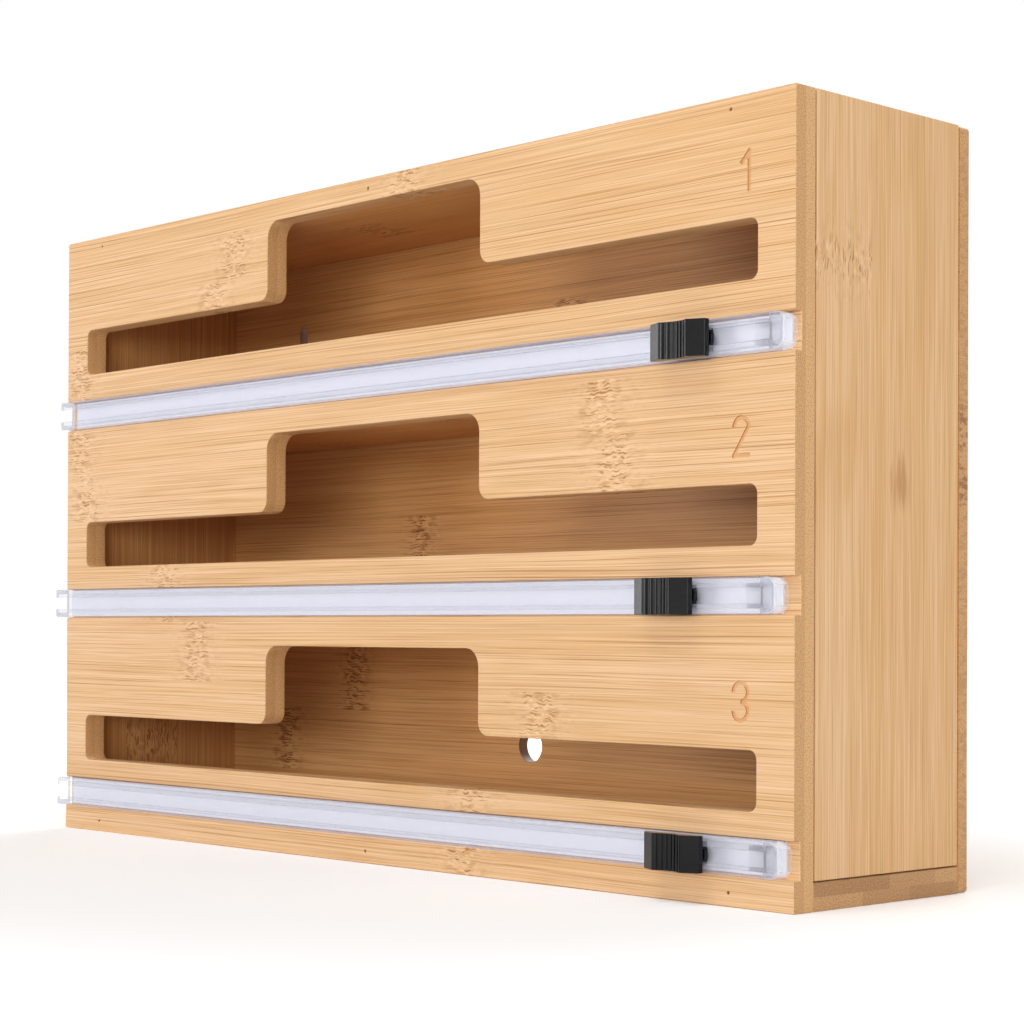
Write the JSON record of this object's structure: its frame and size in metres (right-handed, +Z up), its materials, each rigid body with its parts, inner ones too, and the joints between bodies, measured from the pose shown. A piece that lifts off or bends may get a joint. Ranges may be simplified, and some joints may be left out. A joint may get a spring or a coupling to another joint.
{
  "type": "kitchen wrap dispenser",
  "caption": "Bamboo cabinet that holds kitchen wrap rolls behind stepped windows, with clear rails and sliding cutters on its front and a lift-out side door for loading.",
  "frame": {"origin": "centre of the cabinet's footprint, on the plane that it stands on", "axes": "+X to the right along the cabinet's width, towards the lift-out door; -Y out of the front, where the cutters are; +Z up"},
  "size_m": [0.3415, 0.0816, 0.211],
  "materials": {
    "front_bamboo": "satin clear lacquer",
    "side_bamboo": "satin clear lacquer",
    "inner_bamboo": "satin clear lacquer",
    "clear_plastic": "gloss",
    "white_tape": "matte",
    "black_plastic": "satin",
    "blade_steel": "ground",
    "brad_steel": "drawn wire"
  },
  "bodies": {
    "cabinet": {"front_panel": "front_bamboo", "back_panel": "inner_bamboo", "left_side_panel": "side_bamboo", "top_board": "inner_bamboo", "bottom_board": "side_bamboo", "upper_shelf": "inner_bamboo", "lower_shelf": "inner_bamboo", "top_rail": "clear_plastic", "middle_rail": "clear_plastic", "bottom_rail": "clear_plastic", "top_rail_tape": "white_tape", "middle_rail_tape": "white_tape", "bottom_rail_tape": "white_tape", "top_rail_cap": "clear_plastic", "middle_rail_cap": "clear_plastic", "bottom_rail_cap": "clear_plastic", "front_brads": "brad_steel", "back_brads": "brad_steel", "side_brads": "brad_steel"},
    "door": {"side_door": "side_bamboo"},
    "top_slider": {"top_grip": "black_plastic", "top_shoe": "black_plastic", "top_blade": "blade_steel"},
    "middle_slider": {"middle_grip": "black_plastic", "middle_shoe": "black_plastic", "middle_blade": "blade_steel"},
    "bottom_slider": {"bottom_grip": "black_plastic", "bottom_shoe": "black_plastic", "bottom_blade": "blade_steel"}
  },
  "joints": [
    {"name": "door_lift", "type": "slide", "parent": "cabinet", "child": "door", "axis": [0, 0, 1], "range_m": [0, 0.204]},
    {"name": "top_slider_run", "type": "slide", "parent": "cabinet", "child": "top_slider", "axis": [1, 0, 0], "range_m": [-0.2928, 0.0136]},
    {"name": "middle_slider_run", "type": "slide", "parent": "cabinet", "child": "middle_slider", "axis": [1, 0, 0], "range_m": [-0.2898, 0.0165]},
    {"name": "bottom_slider_run", "type": "slide", "parent": "cabinet", "child": "bottom_slider", "axis": [1, 0, 0], "range_m": [-0.2928, 0.0138]}
  ]
}
